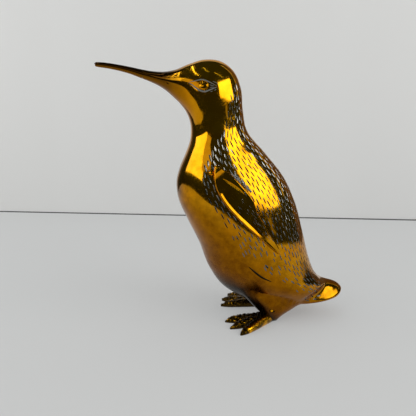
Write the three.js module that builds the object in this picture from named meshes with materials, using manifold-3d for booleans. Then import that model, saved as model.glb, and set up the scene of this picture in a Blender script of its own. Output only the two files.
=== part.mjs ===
// Brass penguin sculpture that stands on two feet and looks along -X with its beak raised.
// The body is a hollow casting in two halves, joined on the middle plane. A solid beak, two solid
// flippers and two solid feet are let into it, and a pin across each leg holds the foot.
// Millimetres. +Z is up, the bird's left side is -Y, and z = 0 is the surface that it stands on.
import * as THREE from 'three';
import { mergeVertices } from 'three/addons/utils/BufferGeometryUtils.js';
import Module from 'manifold-3d';

const wasm = await Module();
wasm.setup();

// Driving dimensions
const birdLength = 231;
const birdHeight = 239.6;
const bodyWidth = 86.4;
const shellWall = 3;
const seatGap = 0.3;

// The places on the middle plane and the body's widths below are drawn for a bird of this size,
// and are stretched when its length, its height or its body's width is another.
const drawnLength = 231;
const drawnHeight = 239.6;
const drawnWidth = 86.4;

// Body, from the snout over the head, neck, chest and rump to the tail tip. Each station is one
// slice: its point on the back, its point on the front and half its width. Sink is how far the
// widest line lies from the middle of the slice towards the front, and ridge is how much of the
// width there is a narrow ridge, both as shares.
const bodyStations = [
  { back: [-74, 230.4], front: [-75.2, 222.9], halfWidth: 3.9, sink: 0, ridge: 0 },
  { back: [-66.7, 229.3], front: [-69.6, 220.8], halfWidth: 5.6, sink: 0, ridge: 0 },
  { back: [-56.3, 228.9], front: [-62.4, 217.6], halfWidth: 8.6, sink: 0, ridge: 0 },
  { back: [-45.7, 230.9], front: [-55.2, 213.2], halfWidth: 12.4, sink: 0, ridge: 0 },
  { back: [-34.3, 235.6], front: [-48.6, 207.6], halfWidth: 16, sink: 0, ridge: 0 },
  { back: [-21, 239.4], front: [-42.4, 201.6], halfWidth: 19.2, sink: 0.04, ridge: 0 },
  { back: [-6.5, 238.2], front: [-37.2, 194.6], halfWidth: 22.5, sink: 0.13, ridge: 0 },
  { back: [5.6, 229.4], front: [-34, 186.6], halfWidth: 24.2, sink: 0.18, ridge: 0 },
  { back: [12.2, 214], front: [-33, 177.8], halfWidth: 23.9, sink: 0.17, ridge: 0 },
  { back: [14, 196], front: [-34.2, 168.4], halfWidth: 23.9, sink: 0.14, ridge: 0 },
  { back: [18.6, 177], front: [-38.6, 156.8], halfWidth: 26.6, sink: 0.19, ridge: 0 },
  { back: [35, 158], front: [-43.8, 144.4], halfWidth: 31.7, sink: 0.2, ridge: 0 },
  { back: [52.8, 136], front: [-46.7, 131.2], halfWidth: 37, sink: 0.16, ridge: 0 },
  { back: [64.8, 111], front: [-44.6, 114.6], halfWidth: 41.1, sink: 0.11, ridge: 0 },
  { back: [72.4, 84.6], front: [-36.4, 96], halfWidth: 43.2, sink: 0.03, ridge: 0 },
  { back: [78.4, 62], front: [-26, 74.6], halfWidth: 42.5, sink: -0.02, ridge: 0.02 },
  { back: [84.4, 46.6], front: [-16.6, 50.2], halfWidth: 40, sink: -0.12, ridge: 0.04 },
  { back: [90.4, 38.6], front: [-1, 29.4], halfWidth: 36, sink: -0.22, ridge: 0.07 },
  { back: [96, 34.8], front: [27, 16.4], halfWidth: 30, sink: -0.12, ridge: 0.08 },
  { back: [101.4, 33.2], front: [60, 14.6], halfWidth: 23.4, sink: 0.45, ridge: 0.08 },
  { back: [106.6, 31.8], front: [84, 16.4], halfWidth: 20, sink: 0.75, ridge: 0.06 },
  { back: [111, 29.8], front: [99.6, 18.8], halfWidth: 16.5, sink: 0.75, ridge: 0.03 },
  { back: [114, 27.2], front: [108.6, 21.2], halfWidth: 10.5, sink: 0.6, ridge: 0 },
  { back: [115.4, 25], front: [113.8, 23.4], halfWidth: 2.2, sink: 0, ridge: 0 },
];
const ridgeAngle = 24;
const cavityFirstStation = 5;
const cavityLastStation = 19;

// Beak, from its tip to near the snout, where it takes the snout's own slice
const beakSlices = [
  { x: -115.6, z: 234.5, radius: 0.5 },
  { x: -114.4, z: 234.4, radius: 1.9 },
  { x: -106, z: 233.6, radius: 2.3 },
  { x: -96, z: 232, radius: 2.5 },
  { x: -85, z: 229.6, radius: 2.95 },
];
const beakSpigotRadius = 2.2;
const beakSpigotLength = 8;

// Legs, cones under the belly that come down behind the feet. Each slice has its height, how far
// it lies behind the leg's place, half its length and half its width.
const legX = 43;
const legY = 17.6;
const legSlices = [
  { height: 1.2, behind: 0, halfLength: 4.4, halfWidth: 4.2 },
  { height: 3.4, behind: 0, halfLength: 6.2, halfWidth: 5.4 },
  { height: 8, behind: 0.4, halfLength: 11.5, halfWidth: 7.6 },
  { height: 14, behind: 1.6, halfLength: 19, halfWidth: 10.2 },
  { height: 23, behind: 1, halfLength: 26, halfWidth: 12.6 },
  { height: 34, behind: -3, halfLength: 28, halfWidth: 12 },
  { height: 46, behind: -7, halfLength: 24, halfWidth: 8 },
];

// Feet. Each toe slice has its share of the toe's length, half its width and its height.
const toeLength = 43;
const footTurnOut = 21;
const toeSpread = 20;
const heelAhead = 3;
const toeSlices = [
  { along: -0.06, halfWidth: 3.2, height: 7.2 },
  { along: 0.06, halfWidth: 4.6, height: 9 },
  { along: 0.3, halfWidth: 4.8, height: 8.5 },
  { along: 0.62, halfWidth: 4.8, height: 7 },
  { along: 0.84, halfWidth: 3.7, height: 5.5 },
  { along: 1, halfWidth: 0.8, height: 2.2 },
];
const middleShareOfHeight = 0.4;

// Tenon of the foot in the leg, and the pin across both
const tenonRadius = 3;
const tenonStartHeight = 4.5;
const tenonStartAhead = 9;
const tenonLean = 32;
const tenonLength = 18.5;
const pinRadius = 1.6;
const pinFromTenonEnd = 7.7;
const pinProud = 0.4;

// Flippers. Each slice has its distance from the root, its front edge, its rear edge and its
// thickness, as shares of the sizes above them. Lift is how far the front edge stands out further
// than the rear edge.
const flipperLength = 92;
const flipperWidth = 23;
const flipperThickness = 5;
const flipperClearance = 0.6;
const flipperLean = 36;
const flipperRoot = [-12, 147];
const flipperSlices = [
  { down: -0.03, front: -0.06, rear: 0.06, thick: 0.6, lift: 0 },
  { down: 0.03, front: -0.28, rear: 0.14, thick: 1.1, lift: 0 },
  { down: 0.12, front: -0.49, rear: 0.26, thick: 1.15, lift: 0.3 },
  { down: 0.26, front: -0.58, rear: 0.33, thick: 1.05, lift: 1 },
  { down: 0.4, front: -0.55, rear: 0.36, thick: 0.95, lift: 1.8 },
  { down: 0.55, front: -0.45, rear: 0.2, thick: 0.8, lift: 2.2 },
  { down: 0.76, front: -0.27, rear: 0.15, thick: 0.62, lift: 2 },
  { down: 0.93, front: -0.1, rear: 0.09, thick: 0.45, lift: 1.2 },
  { down: 1, front: -0.03, rear: 0.01, thick: 0.3, lift: 0.6 },
];
const spigotRadius = 4;
const spigotDownShare = 0.1;
const spigotPastWall = 2;

// Fineness of the curved skins
const bodyPointsRound = 36;
const bodySlicesPerStation = 2;
const legSlicesPerStation = 2;
const toePointsRound = 12;
const toeSteps = 10;
const beakPointsRound = 16;
const beakSteps = 12;
const flipperPointsRound = 16;
const flipperSlicesPerStation = 2;
const barSides = 16;

// Colours and finishes
const polishedBrass = { color: 0xd9a441, roughness: 0.18, metalness: 1 };
const roughBrass = { color: 0x7a5a2a, roughness: 0.5, metalness: 1 };
const pinBrass = { color: 0xa98238, roughness: 0.35, metalness: 1 };

const radians = THREE.MathUtils.degToRad;

function onMiddlePlane([x, z]) {
  return new THREE.Vector3((x * birdLength) / drawnLength, 0, (z * birdHeight) / drawnHeight);
}

// A block that is larger than the whole bird. Its face lies on the plane x = 0 and it fills x > 0.
function halfSpace() {
  const side = 4 * Math.max(birdLength, birdHeight);
  const geometry = new THREE.BoxGeometry(side, side, side);
  geometry.translate(side / 2, 0, 0);
  return geometry;
}

// Solids from geometry, and back
function solidFromGeometry(geometry) {
  const bare = geometry.clone();
  bare.deleteAttribute('normal');
  bare.deleteAttribute('uv');
  const merged = mergeVertices(bare, 1e-4);
  return new wasm.Manifold(
    new wasm.Mesh({
      numProp: 3,
      vertProperties: new Float32Array(merged.attributes.position.array),
      triVerts: new Uint32Array(merged.index.array),
    })
  );
}

function geometryFromSolid(solid) {
  const mesh = solid.getMesh();
  const positions = new Float32Array(mesh.numVert * 3);
  for (let i = 0; i < mesh.numVert; i += 1) {
    for (let axis = 0; axis < 3; axis += 1) {
      positions[3 * i + axis] = mesh.vertProperties[mesh.numProp * i + axis];
    }
  }
  const geometry = new THREE.BufferGeometry();
  geometry.setAttribute('position', new THREE.BufferAttribute(positions, 3));
  geometry.setIndex(new THREE.BufferAttribute(new Uint32Array(mesh.triVerts), 1));
  geometry.computeVertexNormals();
  return geometry;
}

// The same piece for the bird's other side.
function mirrored(geometry) {
  const copy = geometry.clone();
  copy.scale(1, -1, 1);
  const index = copy.index.array;
  for (let i = 0; i < index.length; i += 3) {
    const first = index[i];
    index[i] = index[i + 1];
    index[i + 1] = first;
  }
  copy.computeVertexNormals();
  return copy;
}

function curveThrough(points) {
  return new THREE.CatmullRomCurve3(points, false, 'catmullrom', 0.5);
}

// A closed skin over rings of points. Seen from where the rings lead to, the points run
// anticlockwise. A fan closes each end.
function loft(rings) {
  const count = rings[0].length;
  const points = rings.flat();
  const faces = [];
  for (let ring = 0; ring + 1 < rings.length; ring += 1) {
    for (let k = 0; k < count; k += 1) {
      const here = ring * count + k;
      const next = ring * count + ((k + 1) % count);
      faces.push(here, next, next + count);
      faces.push(here, next + count, here + count);
    }
  }
  [0, rings.length - 1].forEach((ring) => {
    const middle = new THREE.Vector3();
    rings[ring].forEach((point) => middle.add(point));
    points.push(middle.divideScalar(count));
    const hub = points.length - 1;
    for (let k = 0; k < count; k += 1) {
      const here = ring * count + k;
      const next = ring * count + ((k + 1) % count);
      faces.push(...(ring === 0 ? [next, here, hub] : [here, next, hub]));
    }
  });
  const geometry = new THREE.BufferGeometry().setFromPoints(points);
  geometry.setIndex(faces);
  return solidFromGeometry(geometry);
}

// A rod with oval slices. Each slice has a middle, half its width and half its height.
function taperedRod(slices, pointsRound, steps) {
  const middles = curveThrough(slices.map((slice) => slice.middle));
  const sizes = curveThrough(
    slices.map((slice) => new THREE.Vector3(slice.halfWidth, slice.halfHeight, 0))
  );
  const rings = [];
  for (let step = 0; step <= steps; step += 1) {
    const middle = middles.getPoint(step / steps);
    const size = sizes.getPoint(step / steps);
    const ahead = middles.getTangent(step / steps);
    const side = new THREE.Vector3(0, 0, 1).cross(ahead).normalize();
    const up = ahead.clone().cross(side);
    const ring = [];
    for (let k = 0; k < pointsRound; k += 1) {
      const angle = (2 * Math.PI * k) / pointsRound;
      const point = middle.clone();
      point.addScaledVector(side, size.x * Math.cos(angle));
      point.addScaledVector(up, size.y * Math.sin(angle));
      ring.push(point);
    }
    rings.push(ring);
  }
  return loft(rings);
}

// A round bar from one point to another.
function bar(start, end, radius) {
  const way = end.clone().sub(start);
  const geometry = new THREE.CylinderGeometry(radius, radius, way.length(), barSides);
  const upright = new THREE.Vector3(0, 1, 0);
  geometry.applyQuaternion(new THREE.Quaternion().setFromUnitVectors(upright, way.clone().normalize()));
  const middle = start.clone().addScaledVector(way, 0.5);
  geometry.translate(middle.x, middle.y, middle.z);
  return solidFromGeometry(geometry);
}

// Body
const backLine = curveThrough(bodyStations.map((station) => onMiddlePlane(station.back)));
const frontLine = curveThrough(bodyStations.map((station) => onMiddlePlane(station.front)));
const halfWidths = curveThrough(
  bodyStations.map(
    (station) => new THREE.Vector3((station.halfWidth * bodyWidth) / drawnWidth, 0, 0)
  )
);
const sinkAndRidge = curveThrough(
  bodyStations.map((station) => new THREE.Vector3(station.sink, station.ridge, 0))
);
const lastStation = bodyStations.length - 1;

// One slice of the body. The share runs from the snout to the tail, and grow moves the skin out.
function bodySlice(share, grow) {
  const back = backLine.getPoint(share);
  const front = frontLine.getPoint(share);
  const { x: sink, y: ridge } = sinkAndRidge.getPoint(share);
  const middle = back.clone().add(front).multiplyScalar(0.5);
  const toBack = back.clone().sub(front).normalize();
  const halfDepth = back.distanceTo(front) / 2 + grow;
  const halfWidth = halfWidths.getPoint(share).x + grow;
  const ring = [];
  for (let k = 0; k < bodyPointsRound; k += 1) {
    const angle = (2 * Math.PI * k) / bodyPointsRound;
    const side = Math.sin(angle);
    const fromRidge = (Math.abs(Math.PI - angle) - Math.PI / 2) / radians(ridgeAngle);
    const spread = (1 - ridge) * Math.abs(side) + ridge * Math.exp(-fromRidge * fromRidge);
    const point = middle.clone();
    point.addScaledVector(toBack, halfDepth * (Math.cos(angle) - sink * side * side));
    point.y = -Math.sign(side) * halfWidth * spread;
    ring.push(point);
  }
  return ring;
}

function bodyLoft(first, last, grow) {
  const steps = (last - first) * bodySlicesPerStation;
  const rings = [];
  for (let step = 0; step <= steps; step += 1) {
    rings.push(bodySlice((first + step / bodySlicesPerStation) / lastStation, grow));
  }
  return loft(rings);
}

// Half the body's width at a place on its side view, on the slice that passes nearest to it.
// Along the slice the depth runs from -1 on the front to 1 on the back.
function bodySideAt(place) {
  const steps = 400;
  let nearest = Infinity;
  let side = 0;
  for (let step = 0; step <= steps; step += 1) {
    const share = step / steps;
    const slice = new THREE.Line3(frontLine.getPoint(share), backLine.getPoint(share));
    const onSlice = slice.closestPointToPoint(place, true, new THREE.Vector3());
    const miss = onSlice.distanceTo(place);
    if (miss < nearest) {
      nearest = miss;
      const depth = 2 * slice.closestPointToPointParameter(place, true) - 1;
      const sink = sinkAndRidge.getPoint(share).x;
      const root = Math.sqrt(Math.max(0, 1 + 4 * sink * (sink + depth)));
      const cosine = Math.abs(sink) < 1e-6 ? depth : (root - 1) / (2 * sink);
      side = halfWidths.getPoint(share).x * Math.sqrt(Math.max(0, 1 - cosine * cosine));
    }
  }
  return side;
}

const bodySkin = bodyLoft(0, lastStation, 0);
const bodyCavity = bodyLoft(cavityFirstStation, cavityLastStation, -shellWall);
const bodyClearance = bodyLoft(0, lastStation, seatGap);

// Left leg, which grow makes thicker all round
const legPlace = onMiddlePlane([legX, 0]).setY(-legY);

function leftLeg(grow) {
  const places = curveThrough(
    legSlices.map((slice) => legPlace.clone().add(new THREE.Vector3(slice.behind, 0, slice.height)))
  );
  const sizes = curveThrough(
    legSlices.map((slice) => new THREE.Vector3(slice.halfLength, slice.halfWidth, 0))
  );
  const steps = (legSlices.length - 1) * legSlicesPerStation;
  const rings = [];
  for (let step = 0; step <= steps; step += 1) {
    const place = places.getPoint(step / steps);
    const size = sizes.getPoint(step / steps);
    const drop = step === 0 ? grow : 0;
    const ring = [];
    for (let k = 0; k < bodyPointsRound; k += 1) {
      const angle = (2 * Math.PI * k) / bodyPointsRound;
      const along = (size.x + grow) * Math.cos(angle);
      const across = (size.y + grow) * Math.sin(angle);
      ring.push(new THREE.Vector3(place.x + along, place.y + across, place.z - drop));
    }
    rings.push(ring);
  }
  return loft(rings);
}

// Foot, with its tenon in the leg
const tenonStart = legPlace.clone().add(new THREE.Vector3(-tenonStartAhead, 0, tenonStartHeight));
const tenonWay = new THREE.Vector3(Math.sin(radians(tenonLean)), 0, Math.cos(radians(tenonLean)));
const alongTenon = (distance) => tenonStart.clone().addScaledVector(tenonWay, distance);
const tenon = (grow) => bar(tenonStart, alongTenon(tenonLength + grow), tenonRadius + grow);

function anklePinRod(radius) {
  const middle = alongTenon(tenonLength - pinFromTenonEnd);
  const reach = Math.max(...legSlices.map((slice) => slice.halfWidth));
  const outer = middle.clone().setY(-legY - reach);
  const inner = middle.clone().setY(-legY + reach);
  return bar(outer, inner, radius);
}

function toe(turn) {
  const heading = new THREE.Vector3(-Math.cos(radians(turn)), -Math.sin(radians(turn)), 0);
  const heel = legPlace.clone().add(new THREE.Vector3(-heelAhead, 0, 0));
  const slices = toeSlices.map(({ along, halfWidth, height }) => {
    const middle = heel.clone().addScaledVector(heading, along * toeLength);
    middle.z = middleShareOfHeight * height;
    return { middle, halfWidth, halfHeight: (1 - middleShareOfHeight) * height };
  });
  return taperedRod(slices, toePointsRound, toeSteps);
}

const belowGround = solidFromGeometry(halfSpace().rotateY(Math.PI / 2));

const foot = toe(footTurnOut - toeSpread)
  .add(toe(footTurnOut))
  .add(toe(footTurnOut + toeSpread))
  .subtract(leftLeg(seatGap))
  .subtract(bodyClearance)
  .add(tenon(0))
  .subtract(anklePinRod(pinRadius + seatGap))
  .subtract(belowGround);
const anklePin = anklePinRod(pinRadius).intersect(leftLeg(pinProud));

// Flipper, which leans back along the body's side and keeps one clearance from it
const flipperWay = new THREE.Vector3(Math.sin(radians(flipperLean)), 0, -Math.cos(radians(flipperLean)));
const flipperToRear = new THREE.Vector3(-flipperWay.z, 0, flipperWay.x);

function insideOfFlipper(downShare) {
  const place = onMiddlePlane(flipperRoot).addScaledVector(flipperWay, downShare * flipperLength);
  return place.setY(-bodySideAt(place) - flipperClearance);
}

function flipperBlade() {
  const edges = curveThrough(
    flipperSlices.map((slice) => new THREE.Vector3(slice.front, slice.rear, slice.thick))
  );
  const downAndLift = curveThrough(
    flipperSlices.map((slice) => new THREE.Vector3(slice.down, slice.lift, 0))
  );
  const steps = (flipperSlices.length - 1) * flipperSlicesPerStation;
  const rings = [];
  for (let step = 0; step <= steps; step += 1) {
    const { x: front, y: rear, z: thick } = edges.getPoint(step / steps);
    const { x: down, y: lift } = downAndLift.getPoint(step / steps);
    const inside = insideOfFlipper(down);
    const ring = [];
    for (let k = 0; k < flipperPointsRound; k += 1) {
      const angle = (2 * Math.PI * k) / flipperPointsRound;
      const across = (flipperWidth * (front + rear + (rear - front) * Math.cos(angle))) / 2;
      const lifted = (lift * (1 - Math.cos(angle))) / 2;
      const outward = (flipperThickness * thick * (1 + Math.sin(angle))) / 2 + lifted;
      const point = inside.clone().addScaledVector(flipperToRear, across);
      point.y -= outward;
      ring.push(point);
    }
    rings.push(ring);
  }
  return loft(rings);
}

function flipperSpigot(grow) {
  const inside = insideOfFlipper(spigotDownShare);
  const start = inside.clone().setY(inside.y - flipperThickness / 2);
  const end = inside.clone().setY(inside.y + flipperClearance + shellWall + spigotPastWall + grow);
  return bar(start, end, spigotRadius + grow);
}

const flipper = flipperBlade().subtract(bodyClearance).add(flipperSpigot(0));

// Beak, cut square to the snout, with its spigot in the snout's socket
const snoutBack = onMiddlePlane(bodyStations[0].back);
const snoutFront = onMiddlePlane(bodyStations[0].front);
const snoutMiddle = snoutBack.clone().add(snoutFront).multiplyScalar(0.5);
const snoutSlope = Math.atan2(snoutBack.x - snoutFront.x, snoutBack.z - snoutFront.z);
const outOfSnout = new THREE.Vector3(-Math.cos(snoutSlope), 0, Math.sin(snoutSlope));
const fromSnout = (distance) => snoutMiddle.clone().addScaledVector(outOfSnout, distance);

const beakSeat = fromSnout(seatGap);
const snoutSide = solidFromGeometry(
  halfSpace().rotateY(snoutSlope).translate(beakSeat.x, beakSeat.y, beakSeat.z)
);

function beakSpigot(grow) {
  const start = fromSnout(beakSpigotLength);
  const end = fromSnout(-beakSpigotLength - grow);
  return bar(start, end, beakSpigotRadius + grow);
}

function beakRod() {
  const slices = beakSlices.map(({ x, z, radius }) => ({
    middle: onMiddlePlane([x, z]),
    halfWidth: radius,
    halfHeight: radius,
  }));
  slices.push({
    middle: snoutMiddle,
    halfWidth: halfWidths.getPoint(0).x,
    halfHeight: snoutBack.distanceTo(snoutFront) / 2,
  });
  return taperedRod(slices, beakPointsRound, beakSteps);
}

const beak = beakRod().subtract(snoutSide).add(beakSpigot(0));

// Left half of the shell, with its sockets and holes
const leftSide = solidFromGeometry(halfSpace().rotateZ(-Math.PI / 2));

const bodyHalf = bodySkin
  .add(leftLeg(0))
  .subtract(bodyCavity)
  .intersect(leftSide)
  .subtract(flipperSpigot(seatGap))
  .subtract(tenon(seatGap))
  .subtract(beakSpigot(seatGap))
  .subtract(anklePinRod(pinRadius + seatGap));

// Assembly, centred over its own outline
const bird = new THREE.Group();

function addPiece(name, geometry, finish) {
  const mesh = new THREE.Mesh(geometry, new THREE.MeshStandardMaterial(finish));
  mesh.name = name;
  bird.add(mesh);
}

function addPair(name, solid, finish) {
  const geometry = geometryFromSolid(solid);
  addPiece(`left_${name}`, geometry, finish);
  addPiece(`right_${name}`, mirrored(geometry), finish);
}

addPair('body_half', bodyHalf, polishedBrass);
addPair('flipper', flipper, polishedBrass);
addPair('foot', foot, roughBrass);
addPair('ankle_pin', anklePin, pinBrass);
addPiece('beak', geometryFromSolid(beak), polishedBrass);

const outline = new THREE.Box3().setFromObject(bird);
bird.position.x = -(outline.min.x + outline.max.x) / 2;

export default bird;
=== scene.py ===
import itertools
import math
import random
import bpy
import bmesh
from mathutils import Matrix, Vector, noise
from mathutils.bvhtree import BVHTree
from mathutils.interpolate import poly_3d_calc


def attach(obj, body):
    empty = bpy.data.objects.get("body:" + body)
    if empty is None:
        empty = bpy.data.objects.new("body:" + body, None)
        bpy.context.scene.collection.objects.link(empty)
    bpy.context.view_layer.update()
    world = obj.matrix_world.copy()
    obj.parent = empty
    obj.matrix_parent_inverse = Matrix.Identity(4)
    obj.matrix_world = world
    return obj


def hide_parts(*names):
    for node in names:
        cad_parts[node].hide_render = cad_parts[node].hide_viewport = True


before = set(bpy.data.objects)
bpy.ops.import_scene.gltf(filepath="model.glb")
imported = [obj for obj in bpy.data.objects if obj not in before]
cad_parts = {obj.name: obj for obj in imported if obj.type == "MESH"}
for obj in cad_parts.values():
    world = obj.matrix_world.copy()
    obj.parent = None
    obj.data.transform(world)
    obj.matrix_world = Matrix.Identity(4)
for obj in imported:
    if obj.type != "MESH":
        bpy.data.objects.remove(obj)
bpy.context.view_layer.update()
MM = 0.001
LEFT = -1
RIGHT = 1

# Camera, held close to the bird and above its middle
CAMERA_AT = (-0.0484, -0.3838, 0.178)
CAMERA_TURN = 4.6
CAMERA_PITCH = 10.5
CAMERA_LENS = 36.09
CAMERA_SENSOR = 36.0

camera_data = bpy.data.cameras.new("camera")
camera_data.lens = CAMERA_LENS
camera_data.sensor_width = CAMERA_SENSOR
camera = bpy.data.objects.new("camera", camera_data)
camera.location = CAMERA_AT
camera.rotation_euler = (math.radians(90 - CAMERA_PITCH), 0, -math.radians(CAMERA_TURN))
bpy.context.scene.collection.objects.link(camera)
bpy.context.scene.camera = camera
bpy.context.scene.view_settings.view_transform = "Standard"


# Curves
def through(rows, share):
    """A smooth curve through rows of numbers, at a share of the way along them."""
    last = len(rows) - 1
    place = min(max(share, 0.0), 1.0) * last
    first = min(int(place), last - 1)
    step = place - first
    here = rows[first]
    there = rows[first + 1]
    before = rows[first - 1] if first > 0 else [2 * a - b for a, b in zip(here, there)]
    after = rows[first + 2] if first + 2 <= last else [2 * b - a for a, b in zip(here, there)]
    square = step * step
    cube = square * step
    point = []
    for a, b, c, d in zip(before, here, there, after):
        leave = (c - a) / 2
        arrive = (d - b) / 2
        bend = (3 * (c - b) - 2 * leave - arrive) * square
        point.append(b + leave * step + bend + (2 * (b - c) + leave + arrive) * cube)
    return point


def between(rows, place):
    """Straight-line reading of a table of (place, value)."""
    if place <= rows[0][0]:
        return rows[0][1]
    for (low, start), (high, end) in zip(rows, rows[1:]):
        if place <= high:
            return start + (end - start) * (place - low) / (high - low)
    return rows[-1][1]


def smooth_least(a, b, blend):
    """The smaller of two numbers, rounded off where they are near each other."""
    near = max(blend - abs(a - b), 0) / blend
    return min(a, b) - near * near * blend / 4


def ramp(value, start, length):
    """Rises from 0 at a start to 1 after a length. A length below 0 turns it round."""
    return min(max((value - start) / length, 0), 1)


# Meshes
def add_object(name, mesh):
    """Puts a bmesh in the scene as an object with smooth faces."""
    data = bpy.data.meshes.new(name)
    mesh.to_mesh(data)
    mesh.free()
    data.shade_smooth()
    piece = bpy.data.objects.new(name, data)
    bpy.context.scene.collection.objects.link(piece)
    return piece


def loft(mesh, ring_count, points_round, place, hard_ends=()):
    """Adds a closed skin, a circle extruded ring by ring. place(ring, turn) puts each point. A
    hard end, 0 or 1, has a sharp edge round its flat face."""
    made = bmesh.ops.create_circle(mesh, segments=points_round, radius=1.0)["verts"]
    verts = list(made)
    edges = list({edge for vert in made for edge in vert.link_edges})
    rims = [edges]
    for ring in range(1, ring_count):
        grown = bmesh.ops.extrude_edge_only(mesh, edges=edges)["geom"]
        moved = [item for item in grown if isinstance(item, bmesh.types.BMVert)]
        edges = [item for item in grown if isinstance(item, bmesh.types.BMEdge)]
        bmesh.ops.translate(mesh, verts=moved, vec=(0, 0, 1))
        verts += moved
    rims.append(edges)
    for end in hard_ends:
        for edge in rims[end]:
            edge.smooth = False
    caps = []
    for rim in rims:
        caps += bmesh.ops.contextual_create(mesh, geom=rim)["faces"]
    for vert in verts:
        turn = math.atan2(vert.co.y, vert.co.x) % math.tau
        vert.co = place(round(vert.co.z), turn)
    bmesh.ops.poke(mesh, faces=caps)
    return verts


def whole(modified):
    """A mesh with an object's modifiers applied."""
    graph = bpy.context.evaluated_depsgraph_get()
    return bpy.data.meshes.new_from_object(modified.evaluated_get(graph))


def tree_of(data):
    """A mesh's faces, laid out for quick searches."""
    return BVHTree.FromPolygons(
        [vert.co for vert in data.vertices], [face.vertices for face in data.polygons]
    )


# How dull a cut is: polished like the skin, dark with painted shade, metallic grey or matt grey
POLISHED = 0.0
SHADED = 0.5
GREY = 1.0
MATT = 2.0

# Two directions agree, lie level or join smoothly where their dot product is above these.
AGREE = 0.5
LEVEL = 0.8
SMOOTH = 0.75
NEAR_AN_EDGE = 0.02 * MM
LEAST_REACH = 1e-9


def carve(piece, cuts):
    """Cuts into a piece or adds to it. Each cut is a cutter, its dullness and the operation. The
    old skin keeps its normals, and the steep sides of a grey cut are painted dark as shade."""
    old = piece.data
    skin = tree_of(old)
    old_normals = [corner.vector.copy() for corner in old.corner_normals]
    sources = []
    for cutter, dull, operation in cuts:
        sources.append((tree_of(cutter.data), dull))
        step = piece.modifiers.new("cut", "BOOLEAN")
        step.operation = operation
        step.solver = "MANIFOLD"
        step.object = cutter
    new = whole(piece)
    piece.modifiers.clear()
    piece.data = new
    known = {}

    def skin_normal(corner, facing):
        if corner in known and known[corner][1].dot(facing) > AGREE:
            return known[corner][0]
        here = new.vertices[corner].co
        found = skin.find_nearest(here)
        if found[1].dot(facing) < AGREE:
            others = skin.find_nearest_range(here, NEAR_AN_EDGE)
            found = max(others, key=lambda other: other[1].dot(facing), default=found)
        source = old.polygons[found[2]]
        outline = [old.vertices[other].co for other in source.vertices]
        total = Vector((0, 0, 0))
        for weight, loop in zip(poly_3d_calc(outline, found[0]), source.loop_indices):
            total += old_normals[loop] * weight
        known[corner] = (total, found[1])
        return total

    normals = [None] * len(new.loops)
    dullness = [0.0] * len(new.polygons)
    cut_normals = {}
    cut_faces = []
    for face in new.polygons:
        place, normal, index, distance = skin.find_nearest(face.center)
        source = None
        for number, (tree, dull) in enumerate(sources):
            found = tree.find_nearest(face.center, max(distance, LEAST_REACH))
            if found[0] is not None and found[3] < distance:
                distance = found[3]
                source = number
        if source is None:
            for loop in face.loop_indices:
                normals[loop] = skin_normal(new.loops[loop].vertex_index, face.normal)
            continue
        dull = sources[source][1]
        # The steep sides of grey cuts get painted shade, a near-black colour.
        steep = dull == GREY and abs(face.normal.dot(normal)) < LEVEL
        dullness[face.index] = SHADED if steep else dull
        cut_faces.append((face, source))
        for corner in face.vertices:
            cut_normals.setdefault((corner, source), []).append((face.normal.copy(), face.area))
    for face, source in cut_faces:
        for loop in face.loop_indices:
            total = Vector((0, 0, 0))
            for normal, area in cut_normals[(new.loops[loop].vertex_index, source)]:
                if normal.dot(face.normal) > SMOOTH:
                    total += normal * area
            normals[loop] = total if total.length > 0 else face.normal
    mask = new.attributes.new("dull", "FLOAT", "FACE")
    mask.data.foreach_set("value", dullness)
    new.shade_smooth()
    new.normals_split_custom_set([normal.normalized() for normal in normals])
    for cutter, dull, operation in cuts:
        bpy.data.objects.remove(cutter)


def triangles_only(mesh):
    """Turns the faces outwards and cuts them into triangles."""
    bmesh.ops.recalc_face_normals(mesh, faces=mesh.faces)
    bmesh.ops.triangulate(mesh, faces=mesh.faces)


# Body. Each row has, in millimetres, the back edge and the front edge of a slice in the side
# view, half its width, how far its sides sink and how sharp its ridge is.
BODY = (
    (-74, 230.4, -75.2, 222.9, 3.9, 0, 0),
    (-66.7, 229.3, -69.6, 220.8, 5.6, 0, 0),
    (-56.3, 228.9, -62.4, 217.6, 8.6, 0, 0),
    (-45.7, 230.9, -55.2, 213.2, 12.4, 0, 0),
    (-34.3, 235.6, -48.6, 207.6, 16, 0, 0),
    (-21, 239.4, -42.4, 201.6, 19.2, 0.04, 0),
    (-6.5, 238.2, -37.2, 194.6, 22.5, 0.13, 0),
    (5.6, 229.4, -34, 186.6, 24.2, 0.18, 0),
    (12.2, 214, -33, 177.8, 23.9, 0.17, 0),
    (14, 196, -34.2, 168.4, 23.9, 0.14, 0),
    (18.6, 177, -38.6, 156.8, 26.6, 0.19, 0),
    (35, 158, -43.8, 144.4, 31.7, 0.2, 0),
    (52.8, 136, -46.7, 131.2, 37, 0.16, 0),
    (64.8, 111, -44.6, 114.6, 41.1, 0.11, 0),
    (72.4, 84.6, -36.4, 96, 43.2, 0.03, 0),
    (78.4, 62, -26, 74.6, 42.5, -0.02, 0.02),
    (84.4, 46.6, -16.6, 50.2, 40, -0.12, 0.04),
    (90.4, 38.6, -1, 29.4, 36, -0.22, 0.07),
    (96, 34.8, 27, 16.4, 30, -0.12, 0.08),
    (101.4, 33.2, 60, 14.6, 23.4, 0.45, 0.08),
    (106.6, 31.8, 84, 16.4, 20, 0.75, 0.06),
    (111, 29.8, 99.6, 18.8, 17, 0.8, 0.03),
    (114, 27.2, 108.6, 21.2, 11.8, 0.75, 0),
    (115.4, 25, 113.8, 23.4, 2.2, 0, 0),
)
LAST_STATION = len(BODY) - 1
RIDGE_ANGLE = math.radians(24)
BODY_POINTS_ROUND = 112
DENSER_BELOW = 0.3


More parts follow.
